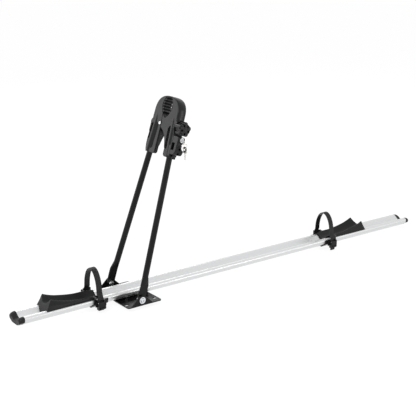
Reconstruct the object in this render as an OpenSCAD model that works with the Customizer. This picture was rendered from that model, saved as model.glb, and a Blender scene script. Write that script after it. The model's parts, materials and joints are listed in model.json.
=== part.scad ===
// Roof mounted bike carrier: an aluminium wheel rail on a steel foot plate,
// with a folding pair of legs that carry a lockable frame clamp.
// X runs along the rail, Y across it, Z is up. The origin is the middle of the
// foot plate's underside, where the front roof bar bears.

/* [Rail] */
// Length of the aluminium rail
rail_len = 1370; // [1200:10:1500]
// Length of rail behind the middle of the foot plate
rail_behind = 318.8; // [300:1:400]
// Half of the rail's width, at its widest
rail_half_w = 31.5; // [30:0.5:34]
// Height of the rail's two ridges
rail_h = 24; // [22:0.5:27]
// Height of the bottom of the tyre groove
groove_z = 11.8; // [11.4:0.1:13]
// Distance of each ridge's crest from the middle
ridge_y = 23; // [21:0.5:24]
// Height of the widest place of the section
side_z = 17.5; // [16:0.5:18.5]
// Half width where the side turns in below
bilge_y = 29.7; // [28:0.1:29.9]
// Height where the side turns in below
bilge_z = 10; // [8:0.5:12]
// Half width of the flat underside
keel_y = 14.5; // [13:0.5:16]
// Wall of the extrusion
rail_wall = 2; // [1.6:0.1:2.4]
// Width of the slot in the underside
slot_w = 8.6; // [8.4:0.1:9.4]
// Width inside the slot
slot_inner_w = 17; // [16:0.5:18]
// Height inside the slot
slot_inner_h = 6.4; // [6:0.1:6.8]
// How far an end cap stands out of the rail
cap_len = 15; // [10:1:20]
// How far an end cap's plugs reach into the rail
cap_plug_len = 22; // [12:1:40]

/* [Foot plate] */
// Length of the foot plate, along the rail
plate_len = 105; // [102:1:120]
// Thickness of the foot plate
plate_t = 3; // [2.5:0.1:4]
// Height of the foot bolts above the plate
foot_z = 12; // [11.6:0.1:16]
// Place of the foot bolts along the plate, from its middle
foot_x = -8.8; // [-10:0.1:-2]
// Radius of the ear's rounded top
ear_r = 13; // [12:0.5:14]
// Length of the ear where it meets the plate
ear_base = 70; // [60:1:74]
// Distance between the roof bar bolts, along the rail
bar_pitch_x = 88; // [84:1:88]
// Distance between the roof bar bolts, across the rail
bar_pitch_y = 124; // [100:1:126]
// Width of the roof bar bolts' slots
bar_slot_w = 8.5; // [6.5:0.1:9]
// Length of the roof bar bolts' slots
bar_slot_len = 15; // [12:0.5:15]
// Distance between the spare holes, along the rail
spare_pitch_x = 34; // [28:1:40]
// Distance between the spare holes, across the rail
spare_pitch_y = 46; // [44:1:60]
// Diameter of the spare holes
spare_hole_d = 6.5; // [5:0.1:8]
// Distance between the bolts that hold the rail to the plate
rail_bolt_pitch = 90; // [80:1:92]

/* [Legs] */
// Diameter of the leg tubes
leg_d = 16; // [14:0.5:17]
// Wall of the leg tubes
leg_wall = 1.5; // [1:0.1:2]
// Lean of the legs from upright, towards the front
lean = 18.05; // [0:0.05:20]
// Half distance between the leg tubes, taken down to the foot bolts
leg_half_span = 75.8; // [74:0.1:77]
// Half distance between the legs' centre lines at the foot of the clamp head
leg_head_y = 46; // [45.6:0.1:46.4]
// Width of a leg's flattened foot
tab_w = 22.6; // [20:0.2:23]
// Thickness of a leg's flattened foot
tab_t = 4; // [3:0.1:5]
// Height of the flattened foot above the bolt
tab_h = 40; // [30:1:50]
// Length over which the tube turns into the flat foot
tab_blend = 22; // [15:1:30]
// Diameter of the foot bolts
foot_bolt_d = 8; // [6:0.5:9]

/* [Clamp head] */
// Height where the clamp head starts, along the legs from the foot bolts
head_s = 373; // [360:1:385]
// Length of the clamp head, along the legs
head_len = 158; // [154:1:165]
// Thickness of the clamp head at the jaws
head_t = 26; // [25:0.5:28]
// Thickness of the clamp head below the jaws, between the leg sleeves
web_t = 21; // [18:0.5:22]
// Half width of the jaws' shoulders
jaw_half_w = 51.5; // [50:0.5:54]
// Half width of the belly low on the head
belly_half_w = 57; // [56:0.5:58]
// Crown on the head's outer sides
crown = 3.6; // [2:0.2:4.4]
// Outer diameter of the leg sleeves
sleeve_d = 26; // [25:0.5:26]
// Half width of the frame mouth
mouth_half_w = 22; // [18:0.5:24]
// Length of the frame mouth along the legs
mouth_len = 57; // [50:1:60]
// Distance of the split between the halves from the middle
split_y = 12; // [10:0.5:13]
// Thickness of the rubber pads
pad_t = 4; // [2:0.1:4]
// Height of the pads' ribs
rib_h = 2; // [0.8:0.1:2]
// Spacing of the pads' ribs
rib_pitch = 7.8; // [5:0.2:8]

/* [Clamp screw and lock] */
// Diameter of the clamp rod
rod_d = 8; // [6:0.5:9]
// Height of the clamp rod along the legs
rod_s = 457; // [455:0.5:460]
// Radius of the knob over its lobes
knob_r = 19.8; // [17:0.1:20]
// Length of the knob
knob_len = 24.5; // [20:0.5:26]
// How far the lock housing stands out of the jaw
housing_depth = 22; // [20:0.5:26]
// Height of the lock along the legs
lock_s = 428.8; // [428:0.1:429]
// Diameter of the lock's face ring
lock_d = 13.6; // [12:0.2:14]
// Length of a key, from bow to tip
key_len = 36; // [32:1:40]

/* [Wheel trays] */
// Length of a wheel tray
tray_len = 163; // [160:1:175]
// Distance of the rear tray from the rail's rear end
tray_inset_left = 60; // [55:1:65]
// Distance of the front tray from the rail's front end
tray_inset_right = 184; // [100:1:300]
// Height of the tray's horns above the rail's underside
horn_z = 51.5; // [45:0.5:60]
// Height of the tray's low sides above the rail's underside
tray_side_z = 31.2; // [28:0.2:36]
// Half distance between the tray's horns
horn_half_w = 25; // [22:0.5:26]

/* [Wheel straps] */
// Width of a strap
strap_w = 16; // [12:0.5:18]
// Thickness of a strap
strap_t = 2.4; // [1.8:0.1:3]
// Height of a strap's loop above the rail's underside
strap_top = 99.4; // [80:1:120]
// Distance of a strap from its tray's inner end
strap_inset = 11; // [10:0.5:15]
// Length of the strap carrier that wraps the rail
carrier_len = 42; // [38:1:42]
// Thickness of the strap carrier
carrier_t = 3; // [2:0.1:4]
// Length of the front strap's tail below the buckle
tail_right = 8; // [2:0.5:12]
// Length of the rear strap's tail below the buckle
tail_left = 3; // [2:0.5:12]

/* [Hidden] */
$fn = 48;

black_satin = "#232426";
black_plastic = "#38393b";
black_rubber = "#2a2a2b";
anodised = "#d9dbdc";
zinc = "#c9c9c6";
chrome_grey = "#dfe1e3";

// Clearances: plain gap between pieces, sliding gap, running fit and threaded fit
gap = 0.3;
slide_gap = 0.4;
run_gap = 0.08;
eps = 0.01;

// Joins a row of rings, each with as many points, into one closed solid
module loft(rings) {
    n = len(rings[0]);
    last = (len(rings) - 1) * n;
    polyhedron(
        points = [for (ring = rings) each ring],
        faces = concat(
            [[for (i = [0:n - 1]) i]],
            [for (k = [0:len(rings) - 2]) for (i = [0:n - 1])
                let (j = (i + 1) % n) each [
                    [k * n + i, (k + 1) * n + i, k * n + j],
                    [k * n + j, (k + 1) * n + i, (k + 1) * n + j]]],
            [[for (i = [n - 1:-1:0]) last + i]]));
}

// A flat shape drawn in Y and Z, extruded along X from x0
module along_x(x0, length) {
    translate([x0, 0, 0])
        rotate([90, 0, 90])
            linear_extrude(length) children();
}

// A flat shape drawn in X and Z, extruded along Y from y0
module along_y(y0, length) {
    translate([0, y0 + length, 0])
        rotate([90, 0, 0])
            linear_extrude(length) children();
}

// A round bar along Y from y0, at height z
module bar_y(y0, length, r, z = 0, x = 0) {
    translate([x, y0, z])
        rotate([-90, 0, 0])
            cylinder(h = length, r = r);
}

// A round bar along X from x0
module bar_x(x0, length, r, y = 0, z = 0) {
    translate([x0, y, z])
        rotate([0, 90, 0])
            cylinder(h = length, r = r);
}

// A block given by its lowest corner and its highest corner
module block(low, high) {
    translate(low) cube(high - low);
}

function reversed(list) = [for (i = [len(list) - 1:-1:0]) list[i]];
function mirrored(points) = [for (p = reversed(points)) [-p[0], p[1]]];

// Where two lines cross, each given by a point and a direction
function crossing(p, u, q, v) =
    let (w = q - p, t = (w[0] * v[1] - w[1] * v[0]) / (u[0] * v[1] - u[1] * v[0])) p + t * u;
function unit(v) = v / norm(v);
function left_of(v) = [-v[1], v[0]];

// An open path moved sideways by d, to the left of its direction
function shifted(path, d) =
    let (last = len(path) - 1)
    [for (i = [0:last])
        let (u = unit(path[min(i + 1, last)] - path[min(i, last - 1)]),
             v = unit(path[max(i, 1)] - path[max(i - 1, 0)]),
             a = path[i] + d * left_of(u),
             b = path[i] + d * left_of(v))
        norm(u - v) < 0.001 ? a : crossing(a, u, b, v)];

// Rail

rail_x = -rail_behind;
rail_z = plate_t;
module on_rail() {
    translate([0, 0, rail_z]) children();
}

function rail_top(y) = abs(y) <= ridge_y
    ? groove_z + (rail_h - groove_z) * (1 - cos(180 * y / ridge_y)) / 2
    : side_z + (rail_h - side_z)
        * sqrt(max(0, 1 - pow((abs(y) - ridge_y) / (rail_half_w - ridge_y), 2)));
function rail_under(y) = max(0, (abs(y) - keel_y) / (bilge_y - keel_y) * bilge_z);

groove_steps = 9;
shoulder_step = 15;
rail_right = concat(
    [[keel_y, 0], [bilge_y, bilge_z]],
    [for (a = [0:shoulder_step:75]) let (y = ridge_y + (rail_half_w - ridge_y) * cos(a)) [y, rail_top(y)]],
    [for (i = [groove_steps:-1:1]) let (y = ridge_y * i / groove_steps) [y, rail_top(y)]]);
rail_outline = concat(rail_right, [[0, groove_z]], mirrored(rail_right));

// A hollow in one side of the extrusion, smaller by inset all round
chamber_y = slot_inner_w / 2 + rail_wall;
chamber_wall = 1.25 * rail_wall;
chamber_steps = 8;
function chamber_at(i, inset) =
    chamber_y + inset + (rail_half_w - rail_wall - chamber_y - 2 * inset) * i / chamber_steps;
function chamber_outline(inset) = concat(
    [for (i = [0:chamber_steps]) let (y = chamber_at(i, inset)) [y, rail_under(y) + chamber_wall + inset]],
    [for (i = [chamber_steps:-1:0]) let (y = chamber_at(i, inset)) [y, rail_top(y) - chamber_wall - inset]]);

slot_lip = 2.4;

module rail() {
    color(anodised) on_rail() difference() {
        along_x(rail_x, rail_len) polygon(rail_outline);
        for (side = [0, 1]) mirror([0, side, 0])
            along_x(rail_x - 1, rail_len + 2) polygon(chamber_outline(0));
        along_x(rail_x - 1, rail_len + 2) translate([-slot_w / 2, -1]) square([slot_w, slot_lip + 2]);
        along_x(rail_x - 1, rail_len + 2) translate([-slot_inner_w / 2, slot_lip])
            square([slot_inner_w, slot_inner_h]);
    }
}

// Outline of an end cap, drawn in by a share of its size as it rounds off
cap_fall = 0.3;
cap_low = 5;
cap_rings = 6;
function cap_ring(t) = let (k = 1 - cap_fall * (1 - sqrt(1 - t * t)), kz = 1 - 1.2 * (1 - k))
    [for (p = rail_outline) [cap_len * t, p[0] * (1 - 0.45 * (1 - k)), cap_low + (p[1] - cap_low) * kz]];

module end_cap() {
    color(black_plastic) {
        loft([for (i = [0:cap_rings]) cap_ring(sin(90 * i / cap_rings))]);
        for (side = [0, 1]) mirror([0, side, 0])
            along_x(-cap_plug_len, cap_plug_len + 1) polygon(chamber_outline(gap));
    }
}
module end_cap_right() {
    on_rail() translate([rail_x + rail_len, 0, 0]) end_cap();
}
module end_cap_left() {
    on_rail() translate([rail_x, 0, 0]) mirror([1, 0, 0]) end_cap();
}

// Foot plate

// The flattened foot turns between the ear outside it and the nut inside it
spacer_t = 1;
foot_play = 0.8;
tab_y = leg_half_span + 1.1;
ear_inner_y = tab_y + tab_t / 2 + foot_play + spacer_t;
ear_y = ear_inner_y + plate_t;
bolt_z = plate_t + foot_z;

// Where a line from p touches a circle about c, on the side that s names
function touch(p, c, r, s) =
    let (d = c - p, len2 = d * d, t = sqrt(len2 - r * r))
    p + (t * t * d + s * t * r * left_of(d)) / len2;

module ear_shape() {
    c = [foot_x, bolt_z];
    a = [foot_x - ear_base / 2, 0];
    b = [foot_x + ear_base / 2, 0];
    polygon([a, b, touch(b, c, ear_r, -1), c, touch(a, c, ear_r, 1)]);
    translate(c) circle(r = ear_r);
}

module slot_hole(x, y) {
    r = bar_slot_w / 2;
    half = bar_slot_len / 2 - r;
    for (i = [-1, 1]) translate([x + i * half, y, -1]) cylinder(h = plate_t + 2, r = r);
    translate([x - half, y - r, -1]) cube([2 * half, bar_slot_w, plate_t + 2]);
}

plate_corner_r = 6;
module base_plate() {
    half_x = plate_len / 2;
    color(black_satin) difference() {
        union() {
            block([-half_x + plate_corner_r, -ear_y, 0], [half_x - plate_corner_r, ear_y, plate_t]);
            block([-half_x, -ear_y + plate_corner_r, 0], [half_x, ear_y - plate_corner_r, plate_t]);
            for (x = [-1, 1], y = [-1, 1])
                translate([x * (half_x - plate_corner_r), y * (ear_y - plate_corner_r), 0])
                    cylinder(h = plate_t, r = plate_corner_r);
            for (side = [0, 1]) mirror([0, side, 0])
                along_y(ear_inner_y, plate_t) ear_shape();
        }
        bar_y(-ear_y - 1, 2 * ear_y + 2, foot_bolt_d / 2 + run_gap, bolt_z, foot_x);
        for (x = [-1, 1], y = [-1, 1]) {
            slot_hole(x * bar_pitch_x / 2, y * bar_pitch_y / 2);
            translate([x * spare_pitch_x / 2, y * spare_pitch_y / 2, -1])
                cylinder(h = plate_t + 2, d = spare_hole_d);
        }
        for (x = [-1, 1]) translate([x * rail_bolt_pitch / 2, 0, 0]) {
            translate([0, 0, -1]) cylinder(h = plate_t + 2, d = rail_bolt_d + 0.4);
            translate([0, 0, -rail_bolt_sunk])
                cylinder(h = rail_bolt_head_h + 2 * rail_bolt_sunk,
                    r1 = rail_bolt_head_r + 3 * rail_bolt_sunk, r2 = rail_bolt_d / 2 + 3 * rail_bolt_sunk);
        }
    }
}

// Countersunk bolts up through the plate, with square nuts in the slot under the rail
rail_bolt_d = 6;
rail_bolt_head_r = 5.6;
rail_bolt_head_h = 2.4;
rail_bolt_sunk = 0.1;
rail_nut_w = 13;
rail_nut_h = 5;
rail_nut_z = plate_t + slot_lip + 0.05;
module rail_bolts() {
    color(zinc) for (x = [-1, 1]) translate([x * rail_bolt_pitch / 2, 0, rail_bolt_sunk]) difference() {
        union() {
            cylinder(h = rail_nut_z + rail_nut_h + 0.4, d = rail_bolt_d);
            cylinder(h = rail_bolt_head_h, r1 = rail_bolt_head_r, r2 = rail_bolt_d / 2);
        }
        translate([0, 0, -1]) cylinder(h = 2.8, r = 2.3, $fn = 6);
    }
}
module hex(r, h, bore) {
    difference() {
        cylinder(h = h, r = r, $fn = 6);
        translate([0, 0, -1]) cylinder(h = h + 2, r = bore);
    }
}
module rail_nuts() {
    color(zinc) for (x = [-1, 1]) translate([x * rail_bolt_pitch / 2, 0, rail_nut_z]) difference() {
        translate([-rail_nut_w / 2, -rail_nut_w / 2, 0]) cube([rail_nut_w, rail_nut_w, rail_nut_h]);
        translate([0, 0, -1]) cylinder(h = rail_nut_h + 2, r = rail_bolt_d / 2 + run_gap / 2);
    }
}

// Bolts that the legs turn on, drawn for the side of positive Y and mirrored
foot_flange_r = 9;
foot_flange_t = 1.6;
foot_head_r = 7;
foot_head_h = 4.6;
foot_socket_r = 2.9;
foot_nut_h = 6.5;
foot_nut_r = 7.4;
foot_nut_y = tab_y - tab_t / 2 - foot_play;
module both_feet() {
    for (side = [0, 1]) mirror([0, side, 0])
        translate([foot_x, 0, bolt_z]) children();
}
module foot_bolts() {
    color(zinc) both_feet() difference() {
        union() {
            bar_y(foot_nut_y - foot_nut_h - 1.5, ear_y - foot_nut_y + foot_nut_h + 2.5, foot_bolt_d / 2);
            bar_y(ear_y, foot_flange_t, foot_flange_r);
            translate([0, ear_y + foot_flange_t - eps, 0]) rotate([-90, 0, 0])
                cylinder(h = foot_head_h, r1 = foot_head_r, r2 = foot_head_r - 1.6);
        }
        translate([0, ear_y + foot_flange_t + 1.2, 0]) rotate([-90, 0, 0])
            cylinder(h = foot_head_h, r = foot_socket_r, $fn = 6);
    }
}
module foot_nuts() {
    color(zinc) both_feet()
        translate([0, foot_nut_y, 0]) rotate([90, 0, 0])
            hex(foot_nut_r, foot_nut_h, foot_bolt_d / 2 + run_gap / 2);
}
module foot_spacers() {
    color(black_plastic) both_feet() difference() {
        bar_y(ear_inner_y - spacer_t, spacer_t, foot_flange_r);
        bar_y(ear_inner_y - spacer_t - 1, spacer_t + 2, foot_bolt_d / 2 + run_gap);
    }
}

// Smooth curve through the points p, with n steps from each to the next
function spline_at(a, b, c, d, t) = b + (c - a) * t / 2 + (2 * a - 5 * b + 4 * c - d) * t * t / 2
    + (3 * b - a - 3 * c + d) * t * t * t / 2;
function spline(p, n) = [for (i = [0:len(p) - 2], k = [0:n - 1])
    spline_at(p[max(0, i - 1)], p[i], p[i + 1], p[min(len(p) - 1, i + 2)], k / n)];

// Legs: in this frame Z runs up the legs from the foot bolts

module arm_frame() {
    translate([foot_x, 0, bolt_z]) rotate([0, lean, 0]) children();
}
leg_splay = (leg_half_span - leg_head_y) / head_s;
splay_deg = atan(leg_splay);
function leg_y(s) = leg_half_span - leg_splay * s;

// Places children on the far leg's centre line, with Z along the tube, at height s
module on_leg(s) {
    translate([0, leg_y(s), s]) rotate([splay_deg, 0, 0]) children();
}
leg_top_s = rod_s - 10;
tube_s = tab_h + tab_blend;
foot_hole_gap = 0.2;

module leg(is_far) {
    color(black_satin) difference() {
        union() {
            on_leg(tube_s) cylinder(h = (leg_top_s - tube_s) / cos(splay_deg), d = leg_d);
            hull() {
                on_leg(tube_s) cylinder(h = 1, d = leg_d - 0.2, $fn = 32);
                block([-tab_w / 2 + 0.05, tab_y - tab_t / 2 + 0.05, tab_h - 1],
                    [tab_w / 2 - 0.05, tab_y + tab_t / 2 - 0.05, tab_h]);
            }
            block([-tab_w / 2, tab_y - tab_t / 2, 0], [tab_w / 2, tab_y + tab_t / 2, tab_h]);
            bar_y(tab_y - tab_t / 2, tab_t, tab_w / 2);
        }
        on_leg(tube_s + 6) cylinder(h = leg_top_s, d = leg_d - 2 * leg_wall);
        bar_y(tab_y - tab_t, 2 * tab_t, foot_bolt_d / 2 + foot_hole_gap);
        leg_screw_hole(is_far, leg_d);
    }
}
// Hole for the screw that holds a leg in its sleeve, on the side that faces the front of the car
module leg_screw_hole(is_far, depth) {
    translate([0, leg_y(leg_screw_s), leg_screw_s]) rotate([0, is_far ? 90 : -90, 0])
        cylinder(h = depth, d = leg_screw_d + 0.2);
}
module leg_far() {
    arm_frame() leg(true);
}
module leg_near() {
    arm_frame() rotate([0, 0, 180]) leg(false);
}

// Clamp head: two like halves, the near one turned half a turn about the legs' direction

head_top = head_s + head_len;
shoulder_s = head_s + 112;
belly_s = head_s + 32;
foot_half_w = belly_half_w - 10;
// Well outside the head on each side
beyond = 2 * belly_half_w;
corner_steps = 4;
top_steps = 10;
top_power = 0.8;
function head_right(b) = concat(
    [for (i = [0:corner_steps]) let (t = 90 * i / corner_steps)
        [foot_half_w + (belly_half_w - foot_half_w) * sin(t) + b, belly_s - (belly_s - head_s) * cos(t)]],
    [for (i = [0:top_steps - 1]) let (t = 90 * i / top_steps)
        [(jaw_half_w + b) * pow(cos(t), top_power),
            shoulder_s + (head_top - shoulder_s + b * 0.4) * pow(sin(t), top_power)]]);
function head_outline(b) = concat(head_right(b), [[0, head_top + 0.4 * b]], mirrored(head_right(b)));

crown_steps = 4;
slope_len = 32;
slope_s = shoulder_s - 3 - slope_len;
module pod() {
    difference() {
        loft([for (i = [-crown_steps:crown_steps])
            let (t = 90 * i / crown_steps, x = head_t / 2 * sin(t))
            [for (p = head_outline(crown * cos(t))) [x, p[0], p[1]]]]);
        // the sides slope in below the jaws
        for (side = [0, 1]) mirror([side, 0, 0])
            along_y(-beyond, 2 * beyond) polygon([[web_t / 2, head_s - 1], [web_t / 2, slope_s],
                [head_t / 2, slope_s + slope_len], [head_t, slope_s + slope_len], [head_t, head_s - 1]]);
    }
}

mouth_s = head_top - mouth_len;
mouth_full = mouth_len + 7;
mouth_steps = 16;
function mouth_y(s) = mouth_half_w * pow(max(0, sin(180 * (s - mouth_s) / mouth_full)), 0.7);
function mouth_at(i) = mouth_s + mouth_len * pow(i / mouth_steps, 1.4);
mouth_right = concat(
    [for (i = [1:mouth_steps]) [mouth_y(mouth_at(i)), mouth_at(i)]],
    [[mouth_y(head_top), head_top + 10]]);
mouth_outline = concat([[0, mouth_s]], mouth_right, mirrored(mouth_right));

// The far half fills this at full thickness, and a tongue at the back reaches over the middle
lap_gap = 0.15;
region_overlap = 0.5;
foot_corner = 8;
foot_cut = 2;
corner_points = 4;
full_region = concat(
    [[split_y + gap, head_top + 9]],
    [for (i = [0:corner_points]) let (t = 90 * i / corner_points)
        [split_y + gap + foot_corner * (1 - cos(t)), head_s + foot_cut + foot_corner * (1 - sin(t))]],
    [[beyond, head_s + foot_cut], [beyond, head_top + 9]]);
// Inner edge on the tongue's side, from the tongue's corner down: shares of the belly's half width and of
// the head's length
tongue_shares = [[0, 0.424], [0.175, 0.367], [0.298, 0.285], [0.36, 0.228], [0.421, 0.165], [0.526, 0.111],
    [0.649, 0.063], [0.79, 0.025]];
tongue_edge = concat([[-split_y, 0.468 * head_len]],
    [for (p = tongue_shares) [p[0] * belly_half_w, p[1] * head_len]],
    [[0.91 * belly_half_w, foot_cut]]);
edge_steps = 3;
tongue_region = concat(
    [[0, head_top + 9], [0, mouth_s + 20], [-split_y, mouth_s + 20]],
    [for (p = spline(tongue_edge, edge_steps)) [p[0], head_s + p[1]]],
    [[beyond, head_s + foot_cut], [beyond, head_top + 9]]);

boss_y = belly_half_w + 1;
boss_half_w = 12;
boss_half_h = 18;
boss_corner = 5;
boss_s = rod_s - 12;
module rod_boss() {
    low = boss_s - boss_half_h;
    high = boss_s + boss_half_h;
    translate([0, boss_y - 22, 0]) {
        block([-boss_half_w, 0, low], [boss_half_w, 22 - boss_corner, high]);
        block([-boss_half_w, 0, low + boss_corner], [boss_half_w, 22, high - boss_corner]);
        for (s = [low + boss_corner, high - boss_corner])
            bar_x(-boss_half_w, 2 * boss_half_w, boss_corner, 22 - boss_corner, s);
    }
}

// The near half ends in a round flange that the knob bears on, and a flat seat below it for the lock housing
flange_y = boss_y + 1;
flange_t = 5;
flange_r = knob_r - 0.3;
seat_half_t = 12.4;
seat_depth = 12;
housing_low = head_s + 14;
housing_top = rod_s - knob_r - 1;
module near_boss() {
    hull() {
        bar_y(flange_y - flange_t, flange_t, flange_r, rod_s);
        block([-head_t / 2, flange_y - flange_t, housing_top - 1], [head_t / 2, flange_y, housing_top]);
    }
    block([-seat_half_t, boss_y - seat_depth, housing_low - 6], [seat_half_t, boss_y, rod_s + seat_depth]);
}

rod_gap = 0.25;
// How far the near half's rod hole is drawn out
rod_slot = 3.4;
// The knob's threaded insert reaches into the near half, so that it stays on the rod when the clamp is open
insert_r = 6.4;
insert_play = 1.4;
insert_y = boss_y - 13;
nut_pocket_r = 8;
nut_pocket_depth = 8.5;
rod_nut_h = 6.5;
rod_screw_d = 8;
rod_screw_y = split_y + gap + rod_screw_d / 2 + 0.6;
leg_screw_s = head_s + 24;
leg_screw_d = 4;

// Channels that set the sleeve off from the web beside it, wider towards the middle and tapered at both ends
groove_w = 3.2;
groove_more = 4;
groove_floor = 6.5;
groove_from = 18;
groove_outer_from = 38;
groove_to = 76;
groove_taper = 14;
module groove_round(from) {
    r = sleeve_d / 2 + groove_w;
    tip_r = r - groove_w - groove_more;
    on_leg(head_s + from) {
        cylinder(h = groove_to - from, r = r);
        translate([0, 0, groove_to - from]) cylinder(h = groove_taper, r1 = r, r2 = tip_r);
        mirror([0, 0, 1]) cylinder(h = groove_taper / 2, r1 = r, r2 = tip_r);
    }
}
module sleeve_groove() {
    difference() {
        union() {
            groove_round(groove_outer_from);
            difference() {
                translate([0, -groove_more, 0]) groove_round(groove_from);
                on_leg(head_s) block([-beyond, 0, 0], [beyond, beyond, head_len]);
            }
        }
        block([-groove_floor, -beyond, head_s], [groove_floor, beyond, shoulder_s]);
    }
}
module half_region() {
    along_x(-head_t, head_t + region_overlap) polygon(full_region);
    along_x(lap_gap, head_t) polygon(tongue_region);
}

module jaw(is_far) {
    color(black_plastic) difference() {
        union() {
            difference() {
                union() {
                    intersection() {
                        pod();
                        half_region();
                    }
                    if (is_far)
                        rod_boss();
                    else
                        near_boss();
                }
                sleeve_groove();
            }
            intersection() {
                on_leg(head_s) cylinder(h = (shoulder_s - head_s) / cos(splay_deg) - 4, d = sleeve_d);
                half_region();
            }
        }
        along_x(-head_t, 2 * head_t) polygon(mouth_outline);
        on_leg(head_s - 5) cylinder(h = (leg_top_s + 6 - head_s) / cos(splay_deg), d = leg_d + 2 * run_gap);
        bar_y(-split_y - 5, boss_y + split_y + 10, rod_d / 2 + rod_gap, rod_s);
        leg_screw_hole(is_far, sleeve_d);
        if (is_far) {
            bar_y(boss_y - nut_pocket_depth, nut_pocket_depth + 5, nut_pocket_r, rod_s);
            bar_x(-head_t, head_t - rod_d / 2, rod_screw_d / 2 + run_gap, rod_screw_y, rod_s);
        } else {
            // the rod's hole is drawn out, so that this half can tip on its foot
            bar_y(-split_y - 5, boss_y + split_y + 10, rod_d / 2 + rod_gap, rod_s - rod_slot);
            block([-rod_d / 2 - rod_gap, -split_y - 5, rod_s - rod_slot],
                [rod_d / 2 + rod_gap, boss_y + 5, rod_s]);
            bar_y(insert_y - 1, flange_y, insert_r + insert_play, rod_s);
            block([-head_t, boss_y, head_s + 1], [head_t, beyond, housing_top + gap]);
            for (s = housing_screw_at)
                bar_y(housing_screw_y - 2, boss_y - housing_screw_y + 3, housing_screw_d / 2 + 0.1, s);
        }
    }
}

module jaw_far() {
    arm_frame() jaw(true);
}
module jaw_near() {
    arm_frame() rotate([0, 0, 180]) jaw(false);
}

// Ribbed rubber pads along the mouth
pad_half_t = head_t / 2 - 0.6;
pad_from = mouth_s + 13;
pad_to = head_top - 1.5;
pad_steps_per_rib = 6;
pad_points = floor((pad_to - pad_from) / rib_pitch * pad_steps_per_rib);
function pad_s(i) = pad_from + (pad_to - pad_from) * i / pad_points;
function rib(i) = rib_h * (0.5 - 0.5 * cos(360 * i / pad_steps_per_rib));
module pad() {
    color(black_rubber) along_x(-pad_half_t, 2 * pad_half_t) polygon(concat(
        [for (i = [0:pad_points]) [mouth_y(pad_s(i)) - gap, pad_s(i)]],
        [for (i = [pad_points:-1:0]) [mouth_y(pad_s(i)) - pad_t - rib(i), pad_s(i)]]));
}
module pad_far() {
    arm_frame() pad();
}
module pad_near() {
    arm_frame() rotate([0, 0, 180]) pad();
}

// Clamp rod with its nut, cap and set screw in the far half
housing_y = boss_y + gap / 2;
housing_face = housing_y + housing_depth;
knob_face = flange_y + gap;
rod_end = knob_face + knob_len - 4;
module clamp_rod() {
    color(zinc) arm_frame()
        bar_y(-rod_end, rod_end + boss_y - nut_pocket_depth + rod_nut_h + 1, rod_d / 2, rod_s);
}
module rod_nut() {
    color(zinc) arm_frame()
        translate([0, boss_y - nut_pocket_depth, rod_s]) rotate([-90, 0, 0])
            hex(7.5, rod_nut_h, rod_d / 2 + run_gap / 2);
}
module rod_cap() {
    color(black_plastic) arm_frame() difference() {
        union() {
            bar_y(boss_y + 0.1, 2.4, nut_pocket_r + 2.5, rod_s);
            bar_y(boss_y - 1, 1.5, nut_pocket_r - 0.2, rod_s);
        }
        bar_y(boss_y - 2, 2.4, nut_pocket_r - 2, rod_s);
    }
}
module rod_screw() {
    color(zinc) arm_frame() difference() {
        bar_x(-head_t / 2, head_t / 2 - rod_d / 2 - 0.1, rod_screw_d / 2, rod_screw_y, rod_s);
        translate([-head_t / 2 - 1, rod_screw_y, rod_s]) rotate([0, 90, 0])
            cylinder(h = 3, r = 2.3, $fn = 6);
    }
}
module leg_screw(is_far) {
    y = leg_y(leg_screw_s);
    translate([0, y, leg_screw_s]) rotate([0, is_far ? 0 : 180, 0]) {
        bar_x(leg_d / 2 - leg_wall, sleeve_d / 2 - leg_d / 2 + leg_wall + 0.5, leg_screw_d / 2);
        bar_x(sleeve_d / 2 + 0.1, 2.2, leg_screw_d);
    }
}
module leg_screw_far() {
    color(black_satin) arm_frame() leg_screw(true);
}
module leg_screw_near() {
    color(black_satin) arm_frame() rotate([0, 0, 180]) leg_screw(false);
}

// Lock housing, on the outer side of the near half; drawn with its face towards positive Y
housing_half_t = head_t / 2;
nose_w = 9;
nose_h = 16;
housing_edge = 3;
nose_steps = 6;
housing_steps = 3;
housing_outline = concat(
    [[housing_y, housing_low]],
    [for (i = [0:nose_steps]) let (t = 90 * i / nose_steps)
        [housing_face - nose_w * (1 - sin(t)), housing_low + nose_h * (1 - cos(t))]],
    [for (i = [0:housing_steps]) let (t = 90 * i / housing_steps)
        [housing_face - housing_edge * (1 - cos(t)), housing_top - housing_edge * (1 - sin(t))]],
    [[housing_y, housing_top]]);
// Round notch in the side towards the front of the car
notch_r = 9.8;
notch_s = lock_s - 17.3;
// Small foot that reaches down below the housing
catch_half_w = 5.2;
recess_depth = 7;

barrel_r = lock_d / 2 - 0.9;
housing_screw_d = 4;
housing_screw_head_r = 3.2;
housing_screw_head_y = housing_y + 8;
housing_screw_y = leg_y(housing_low) + leg_d / 2 + 0.6;
// Height of each screw that holds the housing on the jaw
housing_screw_at = [housing_low + 4.5, housing_low + 17.5];
module lock_housing() {
    color(black_plastic) arm_frame() rotate([0, 0, 180]) difference() {
        union() {
            along_x(-housing_half_t, 2 * housing_half_t) polygon(housing_outline);
            block([-catch_half_w, housing_y + 1, head_s + 2], [catch_half_w, housing_y + 7, housing_low + 8]);
        }
        translate([-housing_half_t - 1, 0, 0]) bar_y(housing_y - 1, 2 * housing_depth, notch_r, notch_s);
        bar_y(housing_y + 4, housing_depth, barrel_r + run_gap, lock_s);
        // finger recess beside the sleeve, in the face towards the rear
        block([housing_half_t - recess_depth, housing_y - 1, housing_low + 12],
            [housing_half_t + 1, housing_y + 12, lock_s - 11]);
        for (s = housing_screw_at) {
            bar_y(housing_y - 1, housing_depth, housing_screw_d / 2 + 0.1, s);
            bar_y(housing_screw_head_y, housing_depth, housing_screw_head_r + 0.2, s);
        }
    }
}
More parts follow.
